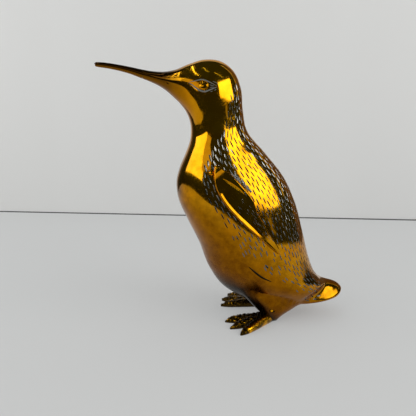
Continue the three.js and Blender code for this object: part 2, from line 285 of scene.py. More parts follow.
def skin_point(station, angle):
    """A point of the body's skin. Angle 0 is along the back and pi along the belly."""
    row = through(BODY, station / LAST_STATION)
    back = Vector((row[0], 0, row[1]))
    front = Vector((row[2], 0, row[3]))
    half_width, sink, ridge = row[4:]
    side = math.sin(angle)
    from_ridge = (abs(math.pi - angle) - math.pi / 2) / RIDGE_ANGLE
    spread = (1 - ridge) * abs(side) + ridge * math.exp(-from_ridge * from_ridge)
    depth = math.cos(angle) - sink * side * side
    point = (back + front) / 2 + (back - front) / 2 * depth
    point.y = -math.copysign(half_width * spread, side)
    return point * MM


# Legs. Each row has the height, the distance behind the leg's place, and half the length and
# half the width of a slice.
LEG_X = 43
LEG_Y = 17.6
LEG = (
    (1.2, 0, 4.4, 4.2),
    (3.4, 0, 6.2, 5.4),
    (8, 0.4, 11.5, 7.6),
    (14, 1.6, 19, 10.2),
    (23, 1, 26, 12.6),
    (34, -3, 28, 12),
    (46, -7, 24, 8),
)
LEG_STEPS = 60
LEG_ROWS = [through(LEG, step / LEG_STEPS) for step in range(LEG_STEPS + 1)]
LEG_BLEND = 7
UNDERSIDE = -0.1


def leg_height(x, y):
    """Height of the leg's skin above the floor at a place, or None beside the leg."""
    before = None
    for height, behind, half_length, half_width in LEG_ROWS:
        reach = math.hypot((x - LEG_X - behind) / half_length, (abs(y) - LEG_Y) / half_width)
        if reach <= 1:
            if before is None:
                return height
            share = (before[1] - 1) / (before[1] - reach)
            return before[0] + share * (height - before[0])
        before = (height, reach)
    return None


# Stretches of the body, each with its first and last slice and the rings between two slices
RING_STRETCHES = (
    (0, 17, 8),
    (17, 20.25, 20),
    (20.25, LAST_STATION, 8),
)


def body_stations():
    """Places of the rings, closer together over the legs."""
    places = []
    for start, end, rings_each in RING_STRETCHES:
        count = round((end - start) * rings_each)
        places += [start + step / rings_each for step in range(count)]
    return places + [LAST_STATION]


def body_point(station, turn):
    """A point of the skin, with the legs blended into the underside."""
    angle = turn + DENSER_BELOW * math.sin(turn)
    point = skin_point(station, angle)
    if math.cos(angle) < UNDERSIDE:
        leg = leg_height(point.x / MM, point.y / MM)
        if leg is not None:
            point.z = smooth_least(point.z / MM, leg, LEG_BLEND) * MM
    return point


rings = body_stations()
skin = bmesh.new()
loft(
    skin, len(rings), BODY_POINTS_ROUND, lambda ring, turn: body_point(rings[ring], turn),
    hard_ends=(0,),
)
triangles_only(skin)
body = add_object("body", skin)
body_tree = tree_of(body.data)
BESIDE = 200


def on_side(tree, x, z, side):
    """The skin's place and outward direction at a place of the side view, in millimetres."""
    start = Vector((x * MM, side * BESIDE * MM, z * MM))
    place, normal, index, distance = tree.ray_cast(start, Vector((0, -side, 0)))
    return place, normal


# Cutters
def stroke(mesh, place, normal, along, half_length, half_width, depth):
    """A slender oval cutter that lies in the skin, its sizes in millimetres."""
    across = along.cross(normal).normalized()
    normal = across.cross(along).normalized()
    sizes = (across * (half_width * MM), normal * (depth * MM), along * (half_length * MM))
    turn = Matrix.Translation(place) @ Matrix(sizes).transposed().to_4x4()
    bmesh.ops.create_uvsphere(mesh, u_segments=6, v_segments=6, radius=1.0, matrix=turn)


GROOVE_FULLNESS = 0.6
GROOVE_TIP = 0.04


def groove(mesh, tree, side, outline, half_width, depth, steps=16, points_round=8):
    """A curved cutter along an outline in the side view, slender at both ends."""
    path = [on_side(tree, *through(outline, step / steps), side) for step in range(steps + 1)]

    def place(ring, turn):
        here, normal = path[ring]
        ahead = path[min(ring + 1, steps)][0] - path[max(ring - 1, 0)][0]
        across = ahead.cross(normal).normalized()
        size = max(math.sin(math.pi * ring / steps), 0) ** GROOVE_FULLNESS + GROOVE_TIP
        aside = across * (half_width * math.cos(turn))
        return here + (aside + normal * (depth * math.sin(turn))) * size * MM

    loft(mesh, steps + 1, points_round, place)


# Feathers are engraved in the skin, from the nape to the root of the tail. The edge of the
# feathers towards the belly is given as station and angle in degrees.
FEATHER_EDGE = (
    (7.7, 38),
    (8, 52),
    (8.5, 60),
    (9, 66),
    (9.6, 70),
    (10, 82),
    (10.5, 95),
    (11.1, 106),
    (11.8, 113),
    (12.6, 114),
    (13.3, 111),
    (14.1, 110),
    (14.9, 108),
    (15.2, 101),
    (15.6, 93),
    (16.1, 88),
    (16.5, 84),
    (17.3, 82),
    (19.8, 83),
)
FEATHER_PITCH = 8.6
FEATHER_GAP = 2.8
FEATHER_END_X = 87
FEATHER_TRIAL = 0.8
FEATHER_STEP = 0.04
FEATHER_PLACE_SEED = 11
FEATHER_CUT_SEED = 5
AHEAD = 0.05
ROUND = 0.02


def is_clear(place, ahead, cell, taken):
    """Whether a stroke keeps its distance from the strokes in the cells round it."""
    for near in itertools.product(*[(value - 1, value, value + 1) for value in cell]):
        for other in taken.get(near, ()):
            gap = other - place
            along = gap.dot(ahead)
            across = math.sqrt(max(gap.length_squared - along * along, 0))
            if (along / FEATHER_PITCH) ** 2 + (across / FEATHER_GAP) ** 2 < MM * MM:
                return False
    return True


def feather_places():
    """Places for the strokes, packed from the head to the tail."""
    chance = random.Random(FEATHER_PLACE_SEED)
    taken = {}
    places = []
    station = FEATHER_EDGE[0][0]
    while station < FEATHER_EDGE[-1][0]:
        edge = math.radians(between(FEATHER_EDGE, station))
        half_width = through(BODY, station / LAST_STATION)[4]
        count = int(edge * half_width / FEATHER_TRIAL)
        angles = [edge * (number + chance.random()) / count for number in range(-count, count)]
        chance.shuffle(angles)
        for angle in angles:
            angle %= math.tau
            place = skin_point(station, angle)
            if place.x >= FEATHER_END_X * MM:
                continue
            ahead = (skin_point(station + AHEAD, angle) - place).normalized()
            cell = tuple(math.floor(value / (FEATHER_PITCH * MM)) for value in place)
            if is_clear(place, ahead, cell, taken):
                taken.setdefault(cell, []).append(place)
                places.append((station, angle))
        station += FEATHER_STEP
    return places


def add_copy(mesh, part):
    """Adds one bmesh to another."""
    data = bpy.data.meshes.new("part")
    part.to_mesh(data)
    part.free()
    mesh.from_mesh(data)
    bpy.data.meshes.remove(data)


# Strokes, in millimetres from least to most. They are smaller and fewer low on the flanks and
# broader at the shoulders, in stretches given as a start and a length.
STROKE_HALF_LENGTH = (2.9, 3.9)
STROKE_HALF_WIDTH = (0.6, 0.8)
STROKE_DEPTH = (0.5, 0.66)
STROKE_SWAY = 0.12
STROKES_A_BATCH = 24
LOW_STATIONS = (12.6, 2)
LOW_ANGLES = (0.9, 0.4)
LOW_MISSING = 0.3
LOW_SHORTER = 0.28
LOW_NARROWER = 0.15
LOW_SHALLOWER = 0.3
SHOULDER_STATIONS = (13, -1.2)
SHOULDER_ANGLES = (1.0, 0.3)
SHOULDER_BROADER = 0.3


def engrave_feathers(mesh):
    """Cutters for all the strokes, gathered in batches because that is quicker."""
    chance = random.Random(FEATHER_CUT_SEED)
    batch = bmesh.new()
    for number, (station, angle) in enumerate(feather_places(), 1):
        if number % STROKES_A_BATCH == 0:
            add_copy(mesh, batch)
            batch = bmesh.new()
        place = skin_point(station, angle)
        ahead = skin_point(station + AHEAD, angle) - skin_point(station - AHEAD, angle)
        round_way = skin_point(station, angle + ROUND) - skin_point(station, angle - ROUND)
        normal = ahead.cross(round_way).normalized()
        if normal.dot(place - skin_point(station, angle + math.pi)) < 0:
            normal = -normal
        ahead.normalize()
        ahead += ahead.cross(normal) * chance.uniform(-STROKE_SWAY, STROKE_SWAY)
        from_back = abs((angle + math.pi) % math.tau - math.pi)
        low = ramp(station, *LOW_STATIONS) * ramp(from_back, *LOW_ANGLES)
        if chance.random() < LOW_MISSING * low:
            continue
        shoulder = ramp(from_back, *SHOULDER_ANGLES) * ramp(station, *SHOULDER_STATIONS)
        half_length = chance.uniform(*STROKE_HALF_LENGTH) * (1 - LOW_SHORTER * low)
        half_width = chance.uniform(*STROKE_HALF_WIDTH)
        half_width *= 1 - LOW_NARROWER * low + SHOULDER_BROADER * shoulder
        depth = chance.uniform(*STROKE_DEPTH) * (1 - LOW_SHALLOWER * low)
        stroke(batch, place, normal, ahead.normalized(), half_length, half_width, depth)
    add_copy(mesh, batch)


# Eye, in the side view: two lids that meet in a point, a ring round the pupil, and fine lines
UPPER_LID = (
    (-35.8, 218.1),
    (-30.6, 219.2),
    (-24.8, 220.3),
    (-20.9, 219.4),
    (-16.2, 217.3),
    (-11, 214.6),
)
LOWER_LID = (
    (-35.4, 217.8),
    (-32.5, 216),
    (-29.6, 213.6),
    (-25.9, 211.3),
    (-22, 210.4),
    (-18.8, 211.4),
    (-14.8, 213),
    (-11.4, 214.2),
)
EYE_LINES = (
    ((-15.6, 219), (-13, 218), (-10, 216.4)),
    ((-18.4, 215.9), (-16, 215.4), (-13.8, 214.9)),
    ((-18, 213.6), (-16, 213.9), (-14, 214)),
    ((-17.6, 210.2), (-16.4, 210.4), (-15.4, 210.8)),
    ((-14.4, 211.2), (-13.2, 211.8), (-12.2, 212.3)),
)
PUPIL = (-23.2, 215.4)
PUPIL_RADIUS = 3.0
PUPIL_HEIGHT = 0.7
PUPIL_SUNK = 0.3
IRIS_RADIUS = 3.8
IRIS_HALF_WIDTH = 0.62
IRIS_DEPTH = 0.5


def facing(normal):
    """A turn whose z axis points along a direction."""
    return normal.to_track_quat("Z", "Y").to_matrix().to_4x4()


def engrave_eye(mesh, side):
    groove(mesh, body_tree, side, UPPER_LID, half_width=0.5, depth=0.45, steps=22)
    groove(mesh, body_tree, side, LOWER_LID, half_width=0.7, depth=0.55, steps=22)
    for line in EYE_LINES:
        groove(mesh, body_tree, side, line, half_width=0.3, depth=0.3, steps=6)


def ring_cutter(mesh, centre, normal, radius, half_width, depth):
    """A ring that lies in the skin round a place, its sizes in millimetres."""
    aside = normal.orthogonal().normalized()
    sizes = (aside * (half_width * MM), normal * (depth * MM), aside.cross(normal))
    plane = Matrix(sizes).transposed()
    place = Matrix.Translation(centre + aside * (radius * MM)) @ plane.to_4x4()
    start = bmesh.ops.create_circle(mesh, segments=10, radius=1.0, matrix=place)["verts"]
    edges = list({edge for vert in start for edge in vert.link_edges})
    bmesh.ops.spin(
        mesh, geom=list(start) + edges, axis=normal, cent=centre, steps=36,
        angle=math.tau, use_merge=True,
    )


def dome(mesh, centre, normal, radius, height):
    """A low round button on the skin, its sizes in millimetres."""
    turn = Matrix.Translation(centre) @ facing(normal)
    turn = turn @ Matrix.Diagonal((radius * MM, radius * MM, height * MM, 1))
    bmesh.ops.create_uvsphere(mesh, u_segments=20, v_segments=12, radius=1.0, matrix=turn)


# Marks of the making: a crease over the thigh, a pit in the casting and the nostril
THIGH_CREASE = ((14.6, 61.4), (21.6, 55.2), (27.1, 50.9), (36, 46.6))
CASTING_PIT = (30.3, 61.8)
CASTING_PIT_WAY = Vector((0.65, 0, -0.76))
NOSTRIL = ((-54.4, 218.6), (-53.2, 218.1), (-52, 217.2))

# Pins across the ankles
PIN_X = 39.8
PIN_Z = 13.7
PIN_RADIUS = 1.4
PIN_HOLE_RADIUS = 1.75
PIN_INNER_Y = 5.2
PIN_HOLE_INNER_Y = 0.2 * PIN_INNER_Y
PIN_HOLE_OUTER_Y = 40
PIN_BELOW_SKIN = 0.35
PIN_BEVEL = 0.5
PIN_SINK_INNER = 1.5
PIN_SINK_OUTER = 2.9
PIN_SINK_DEPTH = 1.8
PIN_SINK_SHIFT = 0.5


def pin_place(y):
    """A place on a pin's middle line, from a distance across the bird in millimetres."""
    return Vector((PIN_X * MM, y * MM, PIN_Z * MM))


def rod(mesh, start, end, radius, points_round=16):
    """A straight rod between two places, its radius in millimetres."""
    way = end - start
    place = Matrix.Translation((start + end) / 2) @ facing(way.normalized())
    bmesh.ops.create_cone(
        mesh, cap_ends=True, segments=points_round, radius1=radius * MM, radius2=radius * MM,
        depth=way.length, matrix=place,
    )


def sunk_ring(mesh, side):
    """The hollow round the outer end of a pin hole."""
    skin_place = on_side(body_tree, PIN_X, PIN_Z, side)[0]
    outward = Vector((0, side, 0))
    middle = skin_place - outward * PIN_SINK_SHIFT * MM
    place = Matrix.Translation(middle) @ facing(outward)
    bmesh.ops.create_cone(
        mesh, cap_ends=True, segments=28, radius1=PIN_SINK_INNER * MM,
        radius2=PIN_SINK_OUTER * MM, depth=PIN_SINK_DEPTH * MM, matrix=place,
    )


SHOULDER_KNOB = (-17.2, 142.9)
KNOB_RADIUS = 2.3
KNOB_HEIGHT = 1.5
BRAZING_LUMPS = 30
BRAZING_SEED = 3
BRAZING_SPREAD_X = (-1, 1.6)
BRAZING_SPREAD_Z = (-1, 1.2)
BRAZING_SIZE = (0.7, 1.5)
BRAZING_HEIGHT = (0.25, 0.5)
BRAZING_NARROWER = 0.6
BRAZING = ((0, 141.4), (3.6, 138.3), (6.8, 135.3), (11.2, 131.8), (16, 127.6))


def brazing(mesh, side):
    """Rough lumps of filler behind the root of a flipper."""
    chance = random.Random(BRAZING_SEED)
    for number in range(BRAZING_LUMPS):
        x, z = through(BRAZING, number / (BRAZING_LUMPS - 1))
        x += chance.uniform(*BRAZING_SPREAD_X)
        z += chance.uniform(*BRAZING_SPREAD_Z)
        place, normal = on_side(body_tree, x, z, side)
        turn = Matrix.Translation(place) @ facing(normal)
        size = chance.uniform(*BRAZING_SIZE) * MM
        turn = turn @ Matrix.Rotation(chance.uniform(0, math.pi), 4, "Z")
        height = chance.uniform(*BRAZING_HEIGHT) * MM
        turn = turn @ Matrix.Diagonal((size, size * BRAZING_NARROWER, height, 1))
        bmesh.ops.create_icosphere(mesh, subdivisions=2, radius=1.0, matrix=turn)


polished_cuts = bmesh.new()
# These cuts are painted near black as shade: the thigh crease, the sunk rings and the nostrils.
shaded_cuts = bmesh.new()
grey_cuts = bmesh.new()
matt_cuts = bmesh.new()
buttons = bmesh.new()
filler = bmesh.new()
for side in (LEFT, RIGHT):
    eye_centre, eye_normal = on_side(body_tree, *PUPIL, side)
    ring_cutter(polished_cuts, eye_centre, eye_normal, IRIS_RADIUS, IRIS_HALF_WIDTH, IRIS_DEPTH)
    pupil_centre = eye_centre - eye_normal * PUPIL_SUNK * MM
    dome(buttons, pupil_centre, eye_normal, PUPIL_RADIUS, PUPIL_HEIGHT)
    knob, knob_normal = on_side(body_tree, *SHOULDER_KNOB, side)
    dome(buttons, knob, knob_normal, KNOB_RADIUS, KNOB_HEIGHT)
    groove(shaded_cuts, body_tree, side, THIGH_CREASE, half_width=1.0, depth=0.9)
    hole_start = pin_place(side * PIN_HOLE_INNER_Y)
    hole_end = pin_place(side * PIN_HOLE_OUTER_Y)
    rod(grey_cuts, hole_start, hole_end, PIN_HOLE_RADIUS)
    sunk_ring(shaded_cuts, side)
    engrave_eye(matt_cuts, side)
    groove(shaded_cuts, body_tree, side, NOSTRIL, half_width=0.5, depth=0.5, steps=6)
    pit, pit_normal = on_side(body_tree, *CASTING_PIT, side)
    stroke(grey_cuts, pit, pit_normal, CASTING_PIT_WAY, half_length=2.4, half_width=1.1, depth=0.9)
    brazing(filler, side)
engrave_feathers(grey_cuts)
for mesh in (polished_cuts, shaded_cuts, grey_cuts, matt_cuts, buttons, filler):
    bmesh.ops.recalc_face_normals(mesh, faces=mesh.faces)
carve(body, (
    (add_object("polished cuts", polished_cuts), POLISHED, "DIFFERENCE"),
    (add_object("shaded cuts", shaded_cuts), SHADED, "DIFFERENCE"),
    (add_object("grey cuts", grey_cuts), GREY, "DIFFERENCE"),
    (add_object("matt cuts", matt_cuts), MATT, "DIFFERENCE"),
    (add_object("buttons", buttons), POLISHED, "UNION"),
    (add_object("filler", filler), MATT, "UNION"),
))
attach(body, "root")
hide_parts("left_body_half", "right_body_half")

# Beak, a slender rod. Each row has the place of a slice in the side view and its radius. The
# last row lies in the snout and only gives the beak its direction where it ends.
BEAK = (
    (-115.6, 234.5, 0.5),
    (-114.4, 234.4, 1.9),
    (-106, 233.6, 2.3),
    (-96, 232, 2.5),
    (-85, 229.6, 2.95),
    (-74.6, 226.65, 3.8),
    (-68.1, 225.05, 4.5),
)
BEAK_RINGS = 60
BEAK_POINTS_ROUND = 32
BEAK_SHOWN = 1 - 1 / (len(BEAK) - 1)
BEAK_LOOK = 0.01


def beak_point(ring, turn):
    """A point of the round, tapering beak, which lies in the middle plane."""
    share = ring / (BEAK_RINGS - 1) * BEAK_SHOWN
    x, z, radius = through(BEAK, share)
    x_on, z_on = through(BEAK, min(share + BEAK_LOOK, 1))[:2]
    x_off, z_off = through(BEAK, max(share - BEAK_LOOK, 0))[:2]
    ahead = Vector((x_on - x_off, 0, z_on - z_off)).normalized()
    up = Vector((-ahead.z, 0, ahead.x))
    point = Vector((x, 0, z)) + up * (radius * math.sin(turn))
    point.y = radius * math.cos(turn)
    return point * MM


beak_skin = bmesh.new()
loft(beak_skin, BEAK_RINGS, BEAK_POINTS_ROUND, beak_point, hard_ends=(1,))
triangles_only(beak_skin)
beak = add_object("beak_rod", beak_skin)
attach(beak, "root")
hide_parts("beak")


# Flippers. Each row has the distance from the root, the front edge, the rear edge and the
# thickness, as shares of the sizes above it, and how far the front edge stands out, in
# millimetres.
FLIPPER_LENGTH = 92
FLIPPER_WIDTH = 23
FLIPPER_THICKNESS = 5
FLIPPER_CLEARANCE = 0.6
FLIPPER_LEAN = math.radians(36)
FLIPPER_ROOT = Vector((-12, 0, 147))
FLIPPER = (
    (-0.03, -0.06, 0.06, 0.6, 0),
    (0.03, -0.28, 0.14, 1.1, 0),
    (0.12, -0.49, 0.26, 1.15, 0.3),
    (0.26, -0.58, 0.33, 1.05, 1),
    (0.4, -0.55, 0.36, 0.95, 1.8),
    (0.55, -0.45, 0.2, 0.8, 2.2),
    (0.76, -0.27, 0.15, 0.62, 2),
    (0.93, -0.1, 0.09, 0.45, 1.2),
    (1, -0.03, 0.01, 0.3, 0.6),
)
FLIPPER_WAY = Vector((math.sin(FLIPPER_LEAN), 0, -math.cos(FLIPPER_LEAN)))
FLIPPER_TO_REAR = Vector((math.cos(FLIPPER_LEAN), 0, math.sin(FLIPPER_LEAN)))
SIDE_STEPS = 200
SIDE_SLICES = [through(BODY, step / SIDE_STEPS) for step in range(SIDE_STEPS + 1)]
NO_SINK = 1e-6
EDGE_ROUNDING = 1.1

# The raised rim, in millimetres where the blade is RIM_FULL_WIDTH wide, and the shares of the
# blade's length where it starts and over which it rises
RIM_CREST = 1.2
RIM_FOOT = 3.7
RIM_HEIGHT = 1.05
RIM_FULL_WIDTH = 13
RIM_START = (0.1, 0.1)


def body_side_at(x, z):
    """Half the body's width at a place of the side view."""
    nearest = None
    for row in SIDE_SLICES:
        span_x = row[0] - row[2]
        span_z = row[1] - row[3]
        share = ((x - row[2]) * span_x + (z - row[3]) * span_z) / (span_x**2 + span_z**2)
        share = min(max(share, 0), 1)
        miss = math.hypot(row[2] + share * span_x - x, row[3] + share * span_z - z)
        if nearest is None or miss < nearest[0]:
            depth = 2 * share - 1
            sink = row[5]
            cosine = depth
            if abs(sink) > NO_SINK:
                cosine = (math.sqrt(max(1 + 4 * sink * (sink + depth), 0)) - 1) / (2 * sink)
            nearest = (miss, row[4] * math.sqrt(max(1 - cosine * cosine, 0)))
    return nearest[1]


def rounded_edge(distance, reach):
    """Share of the thickness at a distance from an edge."""
    short = 1 - ramp(distance, 0, reach)
    return math.sqrt(1 - short * short)


def rim_rise(inboard, width, down):
    """Height of the raised rim on the outer face at a distance from the front edge."""
    size = min(1, width / RIM_FULL_WIDTH)
    crest = RIM_CREST * size
    foot = RIM_FOOT * size
    if inboard < crest:
        share = inboard / crest
    else:
        share = max((foot - inboard) / (foot - crest), 0)
    return RIM_HEIGHT * size * ramp(down, *RIM_START) * share


def flipper_skin(mesh, side, ring_count=90, points_round=96):
    """The blade, flat on its outer face, with a raised rim along its front edge."""
    table = []
    for down, front, rear, thick, lift in FLIPPER:
        middle = FLIPPER_ROOT + FLIPPER_WAY * (down * FLIPPER_LENGTH)
        inside = body_side_at(middle.x, middle.z) + FLIPPER_CLEARANCE
        table.append((down, front, rear, thick, lift, inside))
    rings = []
    for ring in range(ring_count):
        down, front, rear, thick, lift, inside = through(table, ring / (ring_count - 1))
        middle = FLIPPER_ROOT + FLIPPER_WAY * (down * FLIPPER_LENGTH)
        front *= FLIPPER_WIDTH
        rear *= FLIPPER_WIDTH
        thick *= FLIPPER_THICKNESS
        rings.append((middle, inside, down, front, rear, thick, lift))

    def place(ring, turn):
        middle, inside, down, front, rear, thick, lift = rings[ring]
        width = rear - front
        inboard = width * (1 + math.cos(turn)) / 2
        reach = min(EDGE_ROUNDING, width / 2)
        full = rounded_edge(inboard, reach) * rounded_edge(width - inboard, reach)
        out = inside + thick / 2 + lift * (1 - inboard / width)
        if math.sin(turn) > 0:
            out += thick / 2 * full + rim_rise(inboard, width, down)
        else:
            out -= thick / 2 * full
        point = middle + FLIPPER_TO_REAR * (front + inboard)
        point.y = side * out
        return point * MM

    loft(mesh, ring_count, points_round, place)


def flipper_place(down, across):
    """Side view place on a flipper, with its distances down and across in shares."""
    place = FLIPPER_ROOT + FLIPPER_WAY * (down * FLIPPER_LENGTH)
    place += FLIPPER_TO_REAR * (across * FLIPPER_WIDTH)
    return (place.x, place.z)


FLIPPER_DOWN = [(row[0], number / (len(FLIPPER) - 1)) for number, row in enumerate(FLIPPER)]
FLIPPER_EDGES = [row[1:3] for row in FLIPPER]
SCORE_LINE = ((-8.5, 138.9), (-2, 134.6), (4, 130.4), (9.4, 126))


def edges_at(down):
    """Front and rear edge of a flipper at a distance down it, in shares."""
    return through(FLIPPER_EDGES, between(FLIPPER_DOWN, down))


# Short strokes on the blade, placed in shares of its length and width
BLADE_STROKES = 34
BLADE_STROKES_FROM = 0.32
BLADE_STROKES_SPAN = 0.6
BLADE_STROKE_LENGTH = (1.4, 2.4)
BLADE_STROKE_SEED = 23
BEHIND_RIM = 0.2
BLADE_MARGINS = 0.24
NARROW = 0.3


def make_flipper(name, side):
    mesh = bmesh.new()
    flipper_skin(mesh, side)
    triangles_only(mesh)
    piece = add_object(name, mesh)
    tree = tree_of(piece.data)
    cuts = bmesh.new()
    groove(cuts, tree, side, SCORE_LINE, half_width=1.1, depth=0.62, steps=30, points_round=4)
    scores = bmesh.new()
    chance = random.Random(BLADE_STROKE_SEED)
    for step in range(BLADE_STROKES):
        down = BLADE_STROKES_FROM + BLADE_STROKES_SPAN * step / BLADE_STROKES
        front, rear = edges_at(down)
        across = front + BEHIND_RIM + (rear - front - BLADE_MARGINS) * chance.random()
        if rear - front < NARROW:
            continue
        place, normal = on_side(tree, *flipper_place(down, across), side)
        half_length = chance.uniform(*BLADE_STROKE_LENGTH)
        stroke(scores, place, normal, FLIPPER_WAY, half_length, half_width=0.24, depth=0.26)
    for part in (cuts, scores):
        bmesh.ops.recalc_face_normals(part, faces=part.faces)
    carve(piece, (
        (add_object("line cut", cuts), POLISHED, "DIFFERENCE"),
        (add_object("blade strokes", scores), GREY, "DIFFERENCE"),
    ))
    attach(piece, "root")
    return piece


left_flipper = make_flipper("flipper_left", LEFT)
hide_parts("left_flipper")
right_flipper = make_flipper("flipper_right", RIGHT)
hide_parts("right_flipper")


# Feet. Each toe row has the share of the toe's length, half its width and its height.
TOE_LENGTH = 43
TOE_TURNS = (1, 21, 41)
HEEL_AHEAD = 3
TOE = (
    (-0.06, 3.2, 7.2),
    (0.06, 4.6, 9),
    (0.3, 4.8, 8.5),
    (0.62, 4.8, 7),
    (0.84, 3.7, 5.5),
    (1, 0.8, 2.2),
)
TOE_MIDDLE = 0.4
OUTER_TURN = math.radians(TOE_TURNS[2])
FOOT_VOXEL = 0.65

# Scales of the feet. They flatten towards the floor, and the outer side of the outer toe is
# rubbed smooth, in stretches given as a start and a length in millimetres.
SCALE_SIZE = 2.5
SCALE_RADIUS = 0.62
SCALE_HEIGHT = 0.95
SCALE_SHIFT = (7, 3, 5)
SCALES_FROM_FLOOR = (0, 2.5)
RUBBED_MIDDLE = 2.9
RUBBED_ACROSS = (2.6, -0.9)
RUBBED_FROM_HEEL = (1, 3)
RUBBED_TO_TIP = (38, -4)


def toe(mesh, side, turn, ring_count=36, points_round=24):
    """A toe that points ahead, turned outwards by an angle."""
    heading = Vector((-math.cos(turn), side * math.sin(turn), 0))
    aside = Vector((0, 0, 1)).cross(heading)
    heel = Vector((LEG_X - HEEL_AHEAD, side * LEG_Y, 0))

    def place(ring, around):
        along, half_width, height = through(TOE, ring / (ring_count - 1))
        point = heel + heading * (along * TOE_LENGTH)
        point += aside * (half_width * math.cos(around))
        point.z = TOE_MIDDLE * height + (1 - TOE_MIDDLE) * height * math.sin(around)
        return point * MM

    loft(mesh, ring_count, points_round, place)


def rubbed(x, y):
    """How far the outer toe is rubbed smooth at a place beside the heel, in millimetres."""
    along = x * math.cos(OUTER_TURN) + y * math.sin(OUTER_TURN)
    aside = y * math.cos(OUTER_TURN) - x * math.sin(OUTER_TURN)
    share = ramp(abs(aside - RUBBED_MIDDLE), *RUBBED_ACROSS)
    return share * ramp(along, *RUBBED_FROM_HEEL) * ramp(along, *RUBBED_TO_TIP)


def make_foot(name, side):
    """Three toes melted into one casting and covered with scales."""
    mesh = bmesh.new()
    for turn in TOE_TURNS:
        toe(mesh, side, math.radians(turn))
    bmesh.ops.recalc_face_normals(mesh, faces=mesh.faces)
    piece = add_object(name, mesh)
    melt = piece.modifiers.new("melt", "REMESH")
    melt.mode = "VOXEL"
    melt.voxel_size = FOOT_VOXEL * MM
    piece.data = whole(piece)
    piece.modifiers.clear()
    data = piece.data
    mesh = bmesh.new()
    mesh.from_mesh(data)
    bmesh.ops.smooth_vert(
        mesh, verts=mesh.verts, factor=0.5, use_axis_x=True, use_axis_y=True, use_axis_z=True
    )
    mesh.normal_update()
    raised = mesh.verts.layers.float.new("raised")
    shift = Vector(SCALE_SHIFT)
    shift.y *= side
    moves = []
    for vert in mesh.verts:
        near = noise.voronoi(vert.co / (SCALE_SIZE * MM) + shift)[0][0]
        bump = 1 - min(near / SCALE_RADIUS, 1) ** 2
        smooth = rubbed(LEG_X - HEEL_AHEAD - vert.co.x / MM, vert.co.y * side / MM - LEG_Y)
        top = ramp(vert.co.z / MM, *SCALES_FROM_FLOOR)
        moves.append(vert.normal * ((bump - 0.5) * SCALE_HEIGHT * (1 - smooth) * top * MM))
        vert[raised] = max(bump * top, smooth)
    for vert, move in zip(mesh.verts, moves):
        vert.co += move
        vert.co.z = max(vert.co.z, 0)
    mesh.to_mesh(data)
    mesh.free()
    data.shade_smooth()
    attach(piece, "root")
    return piece


left_foot = make_foot("foot_left", LEFT)
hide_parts("left_foot")
right_foot = make_foot("foot_right", RIGHT)
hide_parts("right_foot")


def make_pin(name, side):
    """A pin from inside the leg to just below its skin, with bevelled ends."""
    mesh = bmesh.new()
    outer = on_side(body_tree, PIN_X, PIN_Z, side)[0]
    outer.y -= side * PIN_BELOW_SKIN * MM
    rod(mesh, pin_place(side * PIN_INNER_Y), outer, PIN_RADIUS)
    rims = [edge for edge in mesh.edges if edge.calc_face_angle(0) > 1]
    bmesh.ops.bevel(
        mesh, geom=rims, offset=PIN_BEVEL * MM, offset_type="OFFSET", segments=3, profile=0.5,
        affect="EDGES", material=-1,
    )
    piece = add_object(name, mesh)
    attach(piece, "root")
    return piece


left_pin = make_pin("pin_left", LEFT)
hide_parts("left_ankle_pin")
right_pin = make_pin("pin_right", RIGHT)
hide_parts("right_ankle_pin")


# Materials
def add_node(tree, kind, **settings):
    """A new node with its settings."""
    made = tree.nodes.new(kind)
    for name, value in settings.items():
        setattr(made, name, value)
    return made


def plug(tree, value, socket):
    """Links a socket, or sets the socket to a plain value."""
    if isinstance(value, bpy.types.NodeSocket):
        tree.links.new(value, socket)
    else:
        socket.default_value = value


def arithmetic(tree, operation, first, second):
    made = add_node(tree, "ShaderNodeMath", operation=operation)
    plug(tree, first, made.inputs[0])
    plug(tree, second, made.inputs[1])
    return made.outputs[0]


def remap(tree, value, low, high, new_low=0.0, new_high=1.0):
    """Stretches the range from low to high to a new one, and stays within it."""
    made = add_node(tree, "ShaderNodeMapRange", clamp=True)
    for socket, number in zip(made.inputs, (value, low, high, new_low, new_high)):
        plug(tree, number, socket)
    return made.outputs[0]


def blend_colours(tree, share, first, second):
    made = add_node(tree, "ShaderNodeMix", data_type="RGBA")
    plug(tree, share, made.inputs["Factor"])
    plug(tree, first, made.inputs[6])
    plug(tree, second, made.inputs[7])
    return made.outputs[2]


def added(tree, first, second):
    return arithmetic(tree, "ADD", first, second)


def times(tree, first, second):
    return arithmetic(tree, "MULTIPLY", first, second)


def split(tree, vector):
    """The x, y and z of a vector."""
    made = add_node(tree, "ShaderNodeSeparateXYZ")
    plug(tree, vector, made.inputs[0])
    return made.outputs


def new_group(name, inputs, outputs):
    """A node group whose inputs and outputs are all plain numbers."""
    group = bpy.data.node_groups.new(name, "ShaderNodeTree")
    for label, value in inputs:
        socket = group.interface.new_socket(label, in_out="INPUT", socket_type="NodeSocketFloat")
        socket.default_value = value
    for label in outputs:
        group.interface.new_socket(label, in_out="OUTPUT", socket_type="NodeSocketFloat")
    start = group.nodes.new("NodeGroupInput").outputs
    end = group.nodes.new("NodeGroupOutput").inputs
    place = group.nodes.new("ShaderNodeTexCoord").outputs["Object"]
    return group, start, end, place


def use_group(tree, group, **inputs):
    made = add_node(tree, "ShaderNodeGroup", node_tree=group)
    for name, value in inputs.items():
        plug(tree, value, made.inputs[name.replace("_", " ")])
    return made.outputs


def noise_of(tree, place, scale, detail=4.0, roughness=0.55):
    made = add_node(tree, "ShaderNodeTexNoise")
    plug(tree, place, made.inputs["Vector"])
    plug(tree, scale, made.inputs["Scale"])
    made.inputs["Detail"].default_value = detail
    made.inputs["Roughness"].default_value = roughness
    return made.outputs["Fac"]
